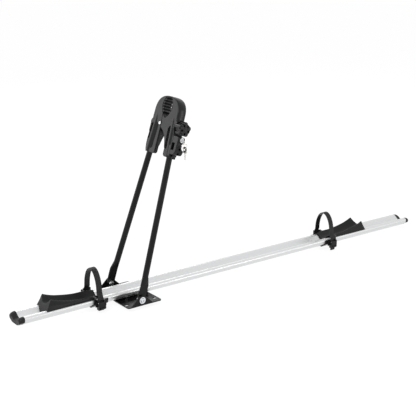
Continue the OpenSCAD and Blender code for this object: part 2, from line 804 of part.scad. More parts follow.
module housing_screws() {
    color(black_satin) arm_frame() rotate([0, 0, 180]) for (s = housing_screw_at) {
        bar_y(housing_screw_y, housing_screw_head_y - housing_screw_y + 1, housing_screw_d / 2, s);
        bar_y(housing_screw_head_y + 0.1, 2.4, housing_screw_head_r, s);
    }
}

// Threaded insert, knob and its cap, on the rod
insert_end = knob_face + knob_len - 3;
module clamp_nut() {
    color("#b59a57") arm_frame() difference() {
        bar_y(-insert_end, insert_end - insert_y, insert_r, rod_s);
        bar_y(-insert_end - 1, insert_end - insert_y + 2, rod_d / 2 + run_gap / 2, rod_s);
    }
}
lobes = 5;
knob_mouth_r = 5.4;
lobe_r = 6.4;
lobe_len = knob_len - 4;
core_r = knob_r - 4.2;
knob_bevel = 1.5;
knob_pocket_r = 3;
knob_pocket_at = 10.8;
knob_pocket_depth = 8;
module knob() {
    color("#1c1c1e") arm_frame() difference() {
        translate([0, -knob_face, rod_s]) rotate([90, 0, 0]) {
            cylinder(h = knob_len - knob_bevel, r = core_r);
            translate([0, 0, knob_len - knob_bevel])
                cylinder(h = knob_bevel, r1 = core_r, r2 = core_r - knob_bevel);
            for (i = [0:lobes - 1]) rotate([0, 0, 90 + 360 * i / lobes])
                translate([knob_r - lobe_r, 0, 0]) {
                    cylinder(h = lobe_len, r = lobe_r);
                    translate([0, 0, lobe_len])
                        cylinder(h = knob_bevel, r1 = lobe_r, r2 = lobe_r - knob_bevel);
                }
        }
        translate([0, -knob_face - knob_len, rod_s]) rotate([90, 0, 0])
            for (i = [0:lobes - 1]) rotate([0, 0, 90 + 360 * (i + 0.5) / lobes])
                translate([knob_pocket_at, 0, -knob_pocket_depth])
                    cylinder(h = knob_pocket_depth + 1, r = knob_pocket_r);
        bar_y(-insert_end - 0.2, insert_end + 0.2 - knob_face + 2, insert_r + run_gap / 2, rod_s);
        bar_y(-knob_face - knob_len - 1, knob_len, knob_mouth_r, rod_s);
    }
}
module knob_cap() {
    color("#1c1c1e") arm_frame() translate([0, -knob_face - knob_len + 1.6, rod_s]) rotate([90, 0, 0]) {
        cylinder(h = 2, r = knob_mouth_r - run_gap);
        translate([0, 0, 1.65]) cylinder(h = 1.4, r1 = 7, r2 = 5.6);
    }
}

// Lock: barrel in the housing, turning plug, key
barrel_face = housing_face + 1.8;
plug_r = 4.8;
keyway_t = 2.4;
keyway_w = 8.4;
module lock_barrel() {
    color(chrome_grey) arm_frame() difference() {
        union() {
            bar_y(-barrel_face, 1.7, lock_d / 2, lock_s);
            bar_y(-barrel_face, barrel_face - housing_y - 4.5, barrel_r, lock_s);
        }
        bar_y(-barrel_face - 1, housing_depth + 4, plug_r + run_gap, lock_s);
    }
}
plug_face = barrel_face + 0.6;
plug_len = housing_depth - 2;
module lock_plug() {
    color(zinc) arm_frame() difference() {
        bar_y(-plug_face, plug_len, plug_r, lock_s);
        block([-keyway_t / 2, -plug_face - 1, lock_s - keyway_w / 2],
            [keyway_t / 2, -plug_face + plug_len - 2, lock_s + keyway_w / 2]);
    }
}

// A key with its bow at the origin's side, blade along positive Y, standing in Y and Z
key_blade_t = 1.8;
key_blade_w = 7.4;
key_blade_len = plug_len - 3;
key_bow_len = key_len - key_blade_len - 1;
key_bow_h = 16;
key_bow_r = 5;
key_hole_r = 2.7;
key_hole_z = -key_bow_h / 2 + key_hole_r + 1.6;
module key_shape() {
    block([-key_blade_t / 2, -1.5, -key_blade_w / 2], [key_blade_t / 2, key_blade_len, key_blade_w / 2]);
    difference() {
        union() {
            block([-key_blade_t / 2, -key_bow_len + key_bow_r, -key_bow_h / 2],
                [key_blade_t / 2, -1, key_bow_h / 2]);
            block([-key_blade_t / 2, -key_bow_len, -key_bow_h / 2 + key_bow_r],
                [key_blade_t / 2, -1, key_bow_h / 2 - key_bow_r]);
            for (z = [-1, 1])
                bar_x(-key_blade_t / 2, key_blade_t, key_bow_r, -key_bow_len + key_bow_r,
                    z * (key_bow_h / 2 - key_bow_r));
        }
        bar_x(-key_blade_t, 2 * key_blade_t, key_hole_r, -key_bow_len / 2 - 0.5, key_hole_z);
    }
}
key_y = -plug_face - 0.2;
module key() {
    color(chrome_grey) arm_frame() translate([0, key_y, lock_s]) key_shape();
}

// Ring and spare key, hanging plumb from the hole in the key's bow
ring_wire_r = 0.8;
ring_r = 8;
ring_y = key_y - key_bow_len / 2 - 0.5;
function arm_point(x, y, s) =
    [foot_x + x * cos(lean) + s * sin(lean), y, bolt_z - x * sin(lean) + s * cos(lean)];
ring_slack = 1.2;
ring_top = arm_point(0, ring_y, lock_s + key_hole_z) - [0, 0, ring_slack];
module key_ring() {
    color(chrome_grey) translate(ring_top - [0, 0, ring_r]) rotate([90, 0, 0])
        rotate_extrude() translate([ring_r, 0]) circle(r = ring_wire_r, $fn = 16);
}
module spare_key() {
    // the spare key hangs with its bow's hole on the ring and its blade down
    color(chrome_grey) translate(ring_top - [0, 0, 2 * ring_r + ring_slack])
        rotate([-90, 0, 180]) translate([0, key_bow_len / 2 + 0.5, -key_hole_z]) key_shape();
}

// Wheel trays: drawn with the outer end at x = 0 and the tray towards positive X

tray_base_y = rail_half_w - 1;
tray_gap = 0.8;
tray_base_z = rail_top(tray_base_y) + tray_gap;
tray_wall = 3;
rise_len = 110;
end_lean = 0.5;
end_lean_len = 50;
function falling(u) = max(0, 1 - u / rise_len);
function tray_top(u) = tray_side_z + (horn_z - tray_side_z) * pow(falling(u), 1.4) * 1.02
    - 2.2 * pow(max(0, (u - tray_len + 24) / 24), 2);
function tray_floor(u) = groove_z + 4.4 + 18.6 * pow(falling(u), 1.5);
function tray_narrow(u) = 1 - 0.14 * pow(max(0, (u - tray_len + 30) / 30), 2);
tray_under_steps = 8;
tray_trough_steps = 6;
function tray_half(u) =
    let (k = tray_narrow(u), top = tray_top(u), floor_z = tray_floor(u), wy = horn_half_w * k)
    concat(
        [for (i = [0:tray_under_steps]) let (y = tray_base_y * k * i / tray_under_steps)
            [y, rail_top(y) + tray_gap]],
        [[tray_base_y * k - 0.6, tray_base_z + 1.6 + (1 - k) * 12],
            [wy + 1.5, (tray_base_z + top) / 2], [wy + 0.4, top - 1],
            [wy - 0.6, top], [wy - tray_wall + 0.6, top - 0.4]],
        [for (i = [tray_trough_steps:-1:1]) let (r = i / (tray_trough_steps + 0.4))
            [(wy - tray_wall) * r, floor_z + (top - 1 - floor_z) * pow(r, 1.7)]]);
function tray_ring(u) =
    let (half = tray_half(u), floor_z = tray_floor(u),
         outline = concat([for (i = [1:len(half) - 1]) half[i]], [[0, floor_z]],
             mirrored([for (i = [1:len(half) - 1]) half[i]]), [half[0]]))
    [for (p = outline)
        [u + end_lean * (p[1] - tray_base_z + 3) * max(0, 1 - u / end_lean_len), p[0], p[1]]];
tray_stations = 16;
// Lugs on both sides of the tray, which the strap carrier is screwed to
strap_from_end = tray_len - strap_inset;
lug_x = strap_from_end - 14;
lug_z = 28.2;
lug_r = 3;
lug_end = rail_half_w + slide_gap - gap;
tray_screw_r = 1.6;
tray_screw_in = 21;
module tray() {
    color(black_plastic) difference() {
        union() {
            loft([for (i = [0:tray_stations]) tray_ring(tray_len * i / tray_stations)]);
            for (side = [0, 1]) mirror([0, side, 0])
                bar_y(horn_half_w - 2, lug_end - horn_half_w + 2, lug_r, lug_z, lug_x);
        }
        for (side = [0, 1]) mirror([0, side, 0])
            bar_y(tray_screw_in - 0.5, rail_half_w, tray_screw_r + run_gap, lug_z, lug_x);
    }
}
module tray_screws() {
    color(black_satin) for (side = [0, 1]) mirror([0, side, 0]) {
        bar_y(tray_screw_in, lug_end + carrier_t + gap - tray_screw_in + 0.5, tray_screw_r, lug_z, lug_x);
        bar_y(lug_end + carrier_t + gap + 0.1, 1.6, 2 * tray_screw_r, lug_z, lug_x);
    }
}
tray_left_x = rail_x + tray_inset_left;
tray_right_x = rail_x + rail_len - tray_inset_right;
module tray_left() {
    on_rail() translate([tray_left_x, 0, 0]) tray();
}
module tray_right() {
    on_rail() translate([tray_right_x, 0, 0]) mirror([1, 0, 0]) tray();
}
module tray_screws_left() {
    on_rail() translate([tray_left_x, 0, 0]) tray_screws();
}
module tray_screws_right() {
    on_rail() translate([tray_right_x, 0, 0]) mirror([1, 0, 0]) tray_screws();
}

// Strap carriers: drawn with the strap at x = 0 and the tray towards negative X

strap_left_x = tray_left_x + strap_from_end;
strap_right_x = tray_right_x - strap_from_end;
module at_left_strap() {
    on_rail() translate([strap_left_x, 0, 0]) children();
}
module at_right_strap() {
    on_rail() translate([strap_right_x, 0, 0]) children();
}
module at_right_strap_turned() {
    at_right_strap() mirror([1, 0, 0]) children();
}

carrier_x = -17.5;
hull_path = [[rail_half_w, rail_h - 3], [rail_half_w, side_z], [bilge_y, bilge_z], [keel_y, 0],
    [-keel_y, 0], [-bilge_y, bilge_z], [-rail_half_w, side_z], [-rail_half_w, rail_h - 3]];
carrier_in = shifted(hull_path, slide_gap);
carrier_out = shifted(hull_path, slide_gap + carrier_t);
carrier_in_y = rail_half_w + slide_gap + 0.1;
pocket_y = carrier_in_y + 1.1;
pocket_out = pocket_y + strap_t + 2.4;
pocket_top = rail_h + 9;
pocket_low = side_z - 2;
strap_far_y = pocket_y + strap_t / 2 + 0.2;
module strap_carrier() {
    color(black_plastic) difference() {
        union() {
            along_x(carrier_x, carrier_len) polygon(concat(carrier_in, reversed(carrier_out)));
            block([-strap_w / 2 - 2, carrier_in_y, pocket_low], [strap_w / 2 + 3, pocket_out, pocket_top]);
            for (side = [0, 1]) mirror([0, side, 0])
                block([carrier_x, carrier_in_y, side_z + 1.5],
                    [carrier_x + 2 * lug_r, carrier_in_y + carrier_t - 0.2, lug_z + lug_r]);
        }
        for (side = [0, 1]) mirror([0, side, 0])
            bar_y(rail_half_w, carrier_t + 1, tray_screw_r + run_gap, lug_z, lug_x - strap_from_end);
        block([-strap_w / 2 - gap, pocket_y, pocket_low + 3],
            [strap_w / 2 + gap, pocket_y + strap_t + 0.4, pocket_top + 1]);
    }
}
module strap_carrier_left() {
    at_left_strap() strap_carrier();
}
module strap_carrier_right() {
    at_right_strap_turned() strap_carrier();
}

// Buckle on the near side of the carrier, with a channel for the strap
buckle_wall = 2.4;
tooth_h = 0.8;
buckle_y = rail_half_w + slide_gap + carrier_t + 0.1;
channel_in = buckle_y + buckle_wall;
channel_out = channel_in + strap_t + tooth_h + 0.5;
buckle_out = channel_out + 5;
buckle_half_w = strap_w / 2 + 3;
buckle_low = -3.5;
buckle_high = 21.5;
strap_near_y = channel_in + strap_t / 2 + 0.2;
pin_r = 1;
pin_z = buckle_high - 5;
pin_y = buckle_out - 1.6;
tab_slot_z = buckle_low + 2;
module buckle() {
    color(black_plastic) difference() {
        union() {
            block([-buckle_half_w, -buckle_out + 2, buckle_low], [buckle_half_w, -buckle_y, buckle_high]);
            block([-buckle_half_w, -buckle_out, buckle_low + 2], [buckle_half_w, -buckle_y, buckle_high - 2]);
            block([-buckle_half_w - 4, -buckle_y - buckle_wall, buckle_low + 7],
                [buckle_half_w + 6, -buckle_y, buckle_high - 2]);
        }
        block([-strap_w / 2 - gap, -channel_out, buckle_low - 1],
            [strap_w / 2 + gap, -channel_in, buckle_high + 1]);
        block([-strap_w / 2 + 1, -buckle_out - 1, tab_slot_z],
            [strap_w / 2 - 1, -channel_out + 1, buckle_high + 1]);
        bar_x(-buckle_half_w - 1, 2 * buckle_half_w + 2, pin_r + run_gap / 2, -pin_y, pin_z);
    }
}
module buckle_left() {
    at_left_strap() buckle();
}
module buckle_right() {
    at_right_strap_turned() buckle();
}
module buckle_pin() {
    color(zinc) bar_x(-buckle_half_w, 2 * buckle_half_w, pin_r, -pin_y, pin_z);
}
module buckle_pin_left() {
    at_left_strap() buckle_pin();
}
module buckle_pin_right() {
    at_right_strap() buckle_pin();
}

// Release tab, turning on the buckle's pin; its lower end lifts away from the strap
tab_half_w = strap_w / 2 - 1 - gap;
tab_thick = 3;
tab_low = tab_slot_z + gap;
pawl_z = tab_low + 7;
module release_tab() {
    color(black_plastic) difference() {
        union() {
            block([-tab_half_w, -pin_y - tab_thick / 2, tab_low],
                [tab_half_w, -pin_y + tab_thick / 2, pin_z]);
            bar_x(-tab_half_w, 2 * tab_half_w, tab_thick / 2 + 0.3, -pin_y, pin_z);
            block([-tab_half_w, -pin_y - tab_thick / 2 - 1.6, tab_low], [tab_half_w, -pin_y, tab_low + 4]);
            // the pawl that holds the strap's teeth
            block([-tab_half_w, -pin_y, pawl_z], [tab_half_w, -channel_out + 0.1, pawl_z + 2]);
        }
        bar_x(-tab_half_w - 1, 2 * tab_half_w + 2, pin_r + run_gap, -pin_y, pin_z);
    }
}
module release_tab_left() {
    at_left_strap() release_tab();
}
module release_tab_right() {
    at_right_strap() release_tab();
}

// Strap: one path from the far pocket over the wheel to the buckle and its tail
tooth_pitch = 4;
arch_half_w = 31.5;
arch_low = 40;
arch_steps = 24;
function strap_path(tail) = concat(
    [[strap_far_y, pocket_low + 4], [strap_far_y, pocket_top + 2]],
    [for (i = [0:arch_steps]) let (t = 180 * i / arch_steps)
        [arch_half_w * cos(t), arch_low + (strap_top - strap_t / 2 - arch_low) * sin(t)]],
    [[-strap_near_y, buckle_high + 2], [-strap_near_y, buckle_low - tail]]);

// Points at an even spacing along a path, with the distance so far
function path_length(path, i = 0) = i >= len(path) - 1 ? 0
    : norm(path[i + 1] - path[i]) + path_length(path, i + 1);
function point_at(path, d, i = 0) =
    let (span = norm(path[i + 1] - path[i]))
    (d <= span || i >= len(path) - 2) ? path[i] + (path[i + 1] - path[i]) * min(1, d / span)
        : point_at(path, d - span, i + 1);

module strap(tail) {
    path = strap_path(tail);
    inside = shifted(path, strap_t / 2);
    outside = shifted(path, -strap_t / 2);
    tips = shifted(path, -strap_t / 2 - tooth_h);
    total = path_length(outside);
    share = path_length(tips) / total;
    steps = floor(total / tooth_pitch);
    first_tooth = floor(0.42 * steps);
    color(black_plastic) along_x(-strap_w / 2, strap_w)
        polygon(concat(inside, reversed(concat(
            [for (k = [0:steps - 1]) let (d = k * tooth_pitch)
                each k < first_tooth ? [point_at(outside, d)] : [
                    point_at(outside, d), point_at(tips, (d + 0.9) * share),
                    point_at(tips, (d + 1.5) * share), point_at(outside, d + 2.6)]],
            [outside[len(outside) - 1]]))));
}
module strap_left() {
    at_left_strap() strap(tail_left);
}
module strap_right() {
    at_right_strap() strap(tail_right);
}

rail();
end_cap_left();
end_cap_right();
base_plate();
rail_bolts();
rail_nuts();
foot_bolts();
foot_nuts();
foot_spacers();
leg_far();
jaw_far();
pad_far();
clamp_rod();
rod_nut();
rod_cap();
rod_screw();
leg_screw_far();
leg_near();
jaw_near();
pad_near();
lock_housing();
housing_screws();
lock_barrel();
leg_screw_near();
clamp_nut();
knob();
knob_cap();
lock_plug();
key();
key_ring();
spare_key();
tray_left();
tray_screws_left();
strap_carrier_left();
strap_left();
buckle_left();
buckle_pin_left();
release_tab_left();
tray_right();
tray_screws_right();
strap_carrier_right();
strap_right();
buckle_right();
buckle_pin_right();
release_tab_right();
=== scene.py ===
"""Roof mounted bike carrier: surfaces, rounded edges and a plain studio round the CAD model."""

import json
import math

import bmesh
import bpy
import numpy as np
from bpy.props import FloatProperty, FloatVectorProperty, IntProperty, PointerProperty
from bpy.types import Operator, Panel, PropertyGroup
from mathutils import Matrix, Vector


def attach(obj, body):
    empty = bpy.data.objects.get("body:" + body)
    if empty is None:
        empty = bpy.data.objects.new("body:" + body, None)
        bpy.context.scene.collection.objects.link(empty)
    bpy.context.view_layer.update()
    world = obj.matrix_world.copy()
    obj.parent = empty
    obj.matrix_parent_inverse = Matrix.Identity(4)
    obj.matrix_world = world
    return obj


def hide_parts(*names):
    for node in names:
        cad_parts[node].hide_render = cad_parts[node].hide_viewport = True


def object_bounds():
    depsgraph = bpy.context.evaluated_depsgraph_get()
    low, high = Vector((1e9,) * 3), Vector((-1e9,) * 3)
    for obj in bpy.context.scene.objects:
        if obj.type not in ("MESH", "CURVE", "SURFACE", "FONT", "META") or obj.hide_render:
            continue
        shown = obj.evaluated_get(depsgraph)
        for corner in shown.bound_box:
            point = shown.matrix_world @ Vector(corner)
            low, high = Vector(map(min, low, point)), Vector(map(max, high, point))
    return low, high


bl_info = {
    "name": "Roof mounted bike carrier",
    "version": (1, 0, 0),
    "blender": (4, 5, 0),
    "location": "View3D > Sidebar > Carrier",
    "description": "Finishes the pieces of a roof mounted bike carrier and lights them",
    "category": "Object",
}

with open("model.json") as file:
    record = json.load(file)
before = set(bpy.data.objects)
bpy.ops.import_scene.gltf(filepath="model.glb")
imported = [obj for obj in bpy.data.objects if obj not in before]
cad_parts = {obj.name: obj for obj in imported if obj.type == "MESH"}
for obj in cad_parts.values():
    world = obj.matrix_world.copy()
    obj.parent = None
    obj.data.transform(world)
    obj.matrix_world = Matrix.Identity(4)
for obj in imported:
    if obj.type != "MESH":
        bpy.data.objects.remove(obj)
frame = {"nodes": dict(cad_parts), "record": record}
CAD_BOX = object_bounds()
RECORD = frame["record"]
SLOT_OF = {part["node"]: part["material_slot"] for part in RECORD["subparts"]}
BODY_OF = {
    node: body for body, nodes in RECORD["behaviour"]["bodies"].items() for node in nodes
}
MM = 0.001

# The arm's direction, and how many steps of a pad's outline make one rib
LEAN = math.radians(18.05)
ARM_UP = (math.sin(LEAN), 0.0, math.cos(LEAN))
RIB_STEPS = 6

# Meshes: points this near are one, islands below this share of the largest are specks,
# and edges above the first angle are rounded and above the second stay sharp
WELD = 0.004 * MM
SPECK = 0.02
FLAT = math.radians(0.4)
ROUNDED = math.radians(34.0)
SHARP = math.radians(40.0)

# Lamps: name, place, the point it faces, its width and height, and the setting of its power
LAMPS = (
    ("key light", (-1.9, -1.2, 2.2), (0.35, 0.0, 0.15), (1.0, 1.2), "key_power"),
    ("side light", (1.5, -2.0, 0.5), (0.13, 0.0, 0.45), (0.5, 0.8), "side_power"),
    ("rim light", (0.6, 2.2, 1.9), (0.3, 0.0, 0.2), (2.4, 1.0), "rim_power"),
    ("face light", (-1.2, 1.9, 0.8), (0.15, 0.0, 0.42), (1.2, 0.9), "face_power"),
)

# Floor: its radius, its middle, the gap below the carrier, and how much of it glows for the camera
FLOOR_RADIUS = 9.0
FLOOR_MIDDLE = (0.4, 0.0)
FLOOR_GAP = 2.0 * MM
FLOOR_SHOWN = 0.82


# Shader maths

class Wire:
    """An output of a shader node. Arithmetic on it adds the Math nodes."""

    def __init__(self, surface, socket):
        self.surface = surface
        self.socket = socket

    def maths(self, operation, first, second=0.0, clamp=False):
        return self.surface.node(
            "ShaderNodeMath", {"operation": operation, "use_clamp": clamp}, {0: first, 1: second}
        )

    def __add__(self, other):
        return self.maths("ADD", self, other)

    def __radd__(self, other):
        return self.maths("ADD", other, self)

    def __sub__(self, other):
        return self.maths("SUBTRACT", self, other)

    def __rsub__(self, other):
        return self.maths("SUBTRACT", other, self)

    def __mul__(self, other):
        return self.maths("MULTIPLY", self, other)

    def __rmul__(self, other):
        return self.maths("MULTIPLY", other, self)

    def cosine(self):
        return self.maths("COSINE", self)

    def clamped(self):
        return self.maths("ADD", self, 0.0, clamp=True)

    def between(self, low, high):
        """0 below low, 1 above high, smooth from one to the other."""
        return self.surface.node(
            "ShaderNodeMapRange",
            {"interpolation_type": "SMOOTHSTEP"},
            {"Value": self, "From Min": low, "From Max": high},
        )


class Surface:
    """A material made of nodes round one Principled shader."""

    def __init__(self, name, roughness=0.5, metallic=0.0, specular=0.5):
        self.material = bpy.data.materials.new(name)
        self.material.use_nodes = True
        self.tree = self.material.node_tree
        self.shader = self.tree.nodes["Principled BSDF"]
        self.shader.inputs["Roughness"].default_value = roughness
        self.shader.inputs["Metallic"].default_value = metallic
        self.shader.inputs["Specular IOR Level"].default_value = specular
        self.place = self.node("ShaderNodeTexCoord", output="Object")

    def node(self, kind, settings=None, inputs=None, output=0):
        """Adds a node: its settings first, then the values or links of its sockets."""
        made = self.tree.nodes.new(kind)
        for name, value in (settings or {}).items():
            if name == "stops":
                ramp = made.color_ramp
                while len(ramp.elements) < len(value):
                    ramp.elements.new(0.5)
                for element, (position, colour) in zip(ramp.elements, value):
                    element.position = position
                    element.color = (*colour, 1.0)
            else:
                setattr(made, name, value)
        for key, value in (inputs or {}).items():
            socket = made.inputs[key]
            if isinstance(value, Wire):
                self.tree.links.new(value.socket, socket)
            else:
                socket.default_value = value
        return Wire(self, made.outputs[output])

    def stretched(self, along_x, along_y, along_z):
        """Object coordinates scaled in each direction, in features a metre."""
        return self.node(
            "ShaderNodeMapping", None,
            {"Vector": self.place, "Scale": (along_x, along_y, along_z)},
        )

    def noise(self, scale, detail=3.0, roughness=0.55, vector=None):
        place = vector or self.place
        return self.node(
            "ShaderNodeTexNoise", None,
            {"Vector": place, "Scale": scale, "Detail": detail, "Roughness": roughness},
        )

    def cells(self, scale):
        return self.node("ShaderNodeTexVoronoi", None, {"Vector": self.place, "Scale": scale})

    def edge(self):
        """1 on rounded edges and 0 on flat faces, from the mesh's own attribute."""
        return self.node(
            "ShaderNodeAttribute", {"attribute_name": "edge"}, output="Fac"
        ).between(0.06, 0.3)

    def blended(self, factor, first, second):
        """Two colours mixed by a factor."""
        ends = {}
        for key, value in ((6, first), (7, second)):
            ends[key] = value if isinstance(value, Wire) else (*value, 1.0)
        return self.node(
            "ShaderNodeMix", {"data_type": "RGBA"}, {0: factor, **ends}, output=2
        )

    def bumped(self, height, strength, depth):
        """A Bump node, with depth in millimetres."""
        return self.node(
            "ShaderNodeBump", None,
            {"Height": height, "Strength": strength, "Distance": depth * MM},
        )

    def set(self, **inputs):
        """Links or sets the shader's own sockets, named with _ for a space."""
        for name, value in inputs.items():
            socket = self.shader.inputs[name.replace("_", " ").title()]
            if isinstance(value, Wire):
                self.tree.links.new(value.socket, socket)
            else:
                socket.default_value = value


def shade(colour, factor):
    """A colour made lighter or darker."""
    return tuple(min(1.0, channel * factor) for channel in colour)


# Finishes

def anodised_extrusion(look):
    """Satin anodised aluminium with the fine lengthwise lines of the die."""
    skin = Surface("anodised extrusion", metallic=1.0)
    colour = tuple(look.rail_colour)
    lines = skin.noise(1.0, 2.0, 0.6, skin.stretched(1.4, 1500.0, 1500.0))
    broad = skin.noise(1.0, 2.0, 0.5, skin.stretched(0.7, 170.0, 170.0))
    cloud = skin.noise(7.0, 2.0)
    tone = (lines * 0.35 + broad * 0.45 + cloud * 0.2).between(0.3, 0.7)
    skin.set(
        base_color=skin.blended(tone, shade(colour, 0.97), shade(colour, 1.03)),
        roughness=look.rail_roughness + (lines - 0.5) * 0.14 + (cloud - 0.5) * 0.05,
        normal=skin.bumped(lines * 0.6 + broad * 0.4, 0.06, 0.08),
    )
    return skin.material


def powder_coat(look):
    """Black powder coat on steel, with a faint orange peel."""
    skin = Surface("black powder coat", specular=0.2)
    colour = tuple(look.steel_colour)
    peel = skin.noise(650.0, 2.0, 0.5)
    fine = skin.noise(2600.0, 2.0, 0.6)
    patch = skin.noise(22.0, 3.0)
    rub = skin.edge() * patch.between(0.35, 0.75)
    skin.set(
        base_color=skin.blended(
            rub * 0.5,
            skin.blended(patch, shade(colour, 0.8), shade(colour, 1.25)),
            shade(colour, 3.0),
        ),
        roughness=0.3 + (patch - 0.5) * 0.1 + (fine - 0.5) * 0.1 + rub * -0.06,
        normal=skin.bumped(peel * 0.75 + fine * 0.25, 0.22, 0.12),
    )
    return skin.material


def moulded(name, colour, grain, roughness, specular=0.25):
    """Injection moulded plastic with a spark-eroded grain that is polished on its edges."""
    skin = Surface(name, specular=specular)
    pits = skin.cells(grain)
    fine = skin.noise(grain * 1.7, 2.0, 0.6)
    flow = skin.noise(26.0, 3.0, 0.6)
    worn = skin.edge() * (0.6 + 0.4 * flow)
    skin.set(
        base_color=skin.blended(
            (flow * 0.7 + worn * 0.35).clamped(), shade(colour, 0.82), shade(colour, 1.32)
        ),
        roughness=roughness + (flow - 0.5) * 0.1 + (fine - 0.5) * 0.12 - worn * 0.12,
        normal=skin.bumped(pits * 0.6 + fine * 0.4, 0.2, 0.09),
    )
    return skin.material


def rib_run(node):
    """Where a pad's ribs start and how far apart they are, in metres up the arm."""
    up = np.array(ARM_UP)
    heights = sorted({round(float(up.dot(v.co)), 5) for v in frame["nodes"][node].data.vertices})
    return heights[0], (heights[-1] - heights[0]) / (len(heights) - 1) * RIB_STEPS


def rubber(look):
    """Black rubber with a painted highlight on the crests of its ribs and painted shade in the
    grooves between them.
    """
    skin = Surface("pad rubber", specular=0.12)
    colour = tuple(look.rubber_colour)
    dust = skin.noise(60.0, 4.0, 0.65)
    fine = skin.noise(1900.0, 2.0)
    start, pitch = rib_run("pad_far")
    height = skin.node(
        "ShaderNodeVectorMath", {"operation": "DOT_PRODUCT"}, {0: skin.place, 1: ARM_UP}, "Value"
    )
    crest_highlight_mask = 0.5 - 0.5 * ((height - start) * (2.0 * math.pi / pitch)).cosine()
    # Painted highlight: the rib crests are twelve times the rubber colour. Painted shade: the
    # grooves between them are 0.4 times it, and the dust noise varies the highlight.
    skin.set(
        base_color=skin.blended(
            crest_highlight_mask.between(0.3, 0.95) * (0.8 + dust * 0.4),
            shade(colour, 0.4),
            shade(colour, 12.0),
        ),
        roughness=0.62 - crest_highlight_mask * 0.16 + (dust - 0.5) * 0.16,
        normal=skin.bumped(fine, 0.25, 0.08),
    )
    return skin.material


def plated(name, colour, roughness, tint, scale=900.0):
    """Bright plated metal with fine turning marks and a faint tint in the plating."""
    skin = Surface(name, metallic=1.0)
    marks = skin.noise(scale, 3.0, 0.6)
    cloud = skin.noise(90.0, 2.0)
    skin.set(
        base_color=skin.blended(cloud.between(0.3, 0.7), colour, tint),
        roughness=roughness + (marks - 0.5) * 0.16 + (cloud - 0.5) * 0.08,
        normal=skin.bumped(marks, 0.12, 0.04),
    )
    return skin.material


def strap_plastic(look):
    """Tough glossy strap plastic, with draw marks along its length."""
    skin = Surface("strap plastic", specular=0.3)
    colour = tuple(look.strap_colour)
    marks = skin.noise(1.0, 2.0, 0.55, skin.stretched(1300.0, 60.0, 60.0))
    cloud = skin.noise(45.0, 3.0)
    worn = skin.edge() * cloud
    skin.set(
        base_color=skin.blended(
            (cloud * 0.6 + worn * 0.4).clamped(), shade(colour, 0.85), shade(colour, 1.3)
        ),
        roughness=look.strap_roughness + (marks - 0.5) * 0.12 + (cloud - 0.5) * 0.1,
        normal=skin.bumped(marks, 0.15, 0.05),
    )
    return skin.material


def finishes(look):
    """One material for each slot of the record."""
    plastic = tuple(look.plastic_colour)
    zinc = tuple(look.zinc_colour)
    return {
        "aluminium": anodised_extrusion(look),
        "powder_coat": powder_coat(look),
        "pad_rubber": rubber(look),
        "strap_plastic": strap_plastic(look),
        "jaw_plastic": moulded("clamp nylon", plastic, look.grain, look.plastic_roughness),
        "tray_plastic": moulded("tray plastic", shade(plastic, 1.1), look.grain * 0.8,
                                look.plastic_roughness + 0.04, specular=0.22),
        "cap_plastic": moulded("cap plastic", shade(plastic, 1.15), look.grain, 0.46),
        "knob_plastic": moulded("knob plastic", shade(plastic, 0.55), look.grain * 1.5, 0.3),
        "nylon": moulded("spacer nylon", shade(plastic, 1.2), look.grain, 0.5),
        "zinc_steel": plated("zinc plate", zinc, 0.3, (zinc[0] * 0.95, zinc[1], zinc[2] * 1.06)),
        "lock_chrome": plated("lock chrome", (0.86, 0.86, 0.87), 0.12, (0.83, 0.84, 0.87), 500.0),
        "key_nickel": plated("key nickel", (0.8, 0.79, 0.76), 0.24, (0.76, 0.76, 0.75)),
        "nut_brass": plated("insert brass", (0.72, 0.55, 0.27), 0.3, (0.66, 0.49, 0.24)),
        "black_steel": plated("black oxide", (0.07, 0.07, 0.072), 0.4, (0.045, 0.045, 0.05)),
    }


FINISH = {}


def finish_of(slot):
    if not FINISH:
        FINISH.update(finishes(bpy.context.scene.carrier_finish))
    return FINISH[slot]


# Meshes

def joined(source):
    """A bmesh of a CAD mesh, with split vertices welded and the triangles of flat faces joined."""
    data = source.data
    points = np.empty(len(data.vertices) * 3)
    data.vertices.foreach_get("co", points)
    points = points.reshape(-1, 3)
    microns = np.round(points * 1e6).astype(np.int64)
    _, first, place = np.unique(microns, axis=0, return_index=True, return_inverse=True)
    place = place.reshape(-1)
    made = bmesh.new()
    corners = [made.verts.new(points[i]) for i in first]
    for face in data.polygons:
        ring = [place[i] for i in face.vertices]
        if len(set(ring)) == len(ring):
            try:
                made.faces.new([corners[i] for i in ring])
            except ValueError:
                continue
    bmesh.ops.dissolve_limit(made, angle_limit=FLAT, verts=made.verts, edges=made.edges)
    return made


def mark_edges(mesh):
    """Writes how far the surface falls away round each point, for the wear on outer edges."""
    count = len(mesh.vertices)
    points = np.empty(count * 3)
    mesh.vertices.foreach_get("co", points)
    points = points.reshape(-1, 3)
    normals = np.empty(count * 3)
    mesh.vertex_normals.foreach_get("vector", normals)
    normals = normals.reshape(-1, 3)
    ends = np.empty(len(mesh.edges) * 2, dtype=np.int64)
    mesh.edges.foreach_get("vertices", ends)
    ends = ends.reshape(-1, 2).T
    fall = np.zeros(count)
    for start, end in (ends, ends[::-1]):
        step = points[end] - points[start]
        step /= np.maximum(np.linalg.norm(step, axis=1), 1e-9)[:, None]
        np.maximum.at(fall, start, -(step * normals[start]).sum(axis=1))
    layer = mesh.attributes.new("edge", "FLOAT", "POINT")
    layer.data.foreach_set("value", np.clip(fall, 0.0, 1.0).astype(np.float32))


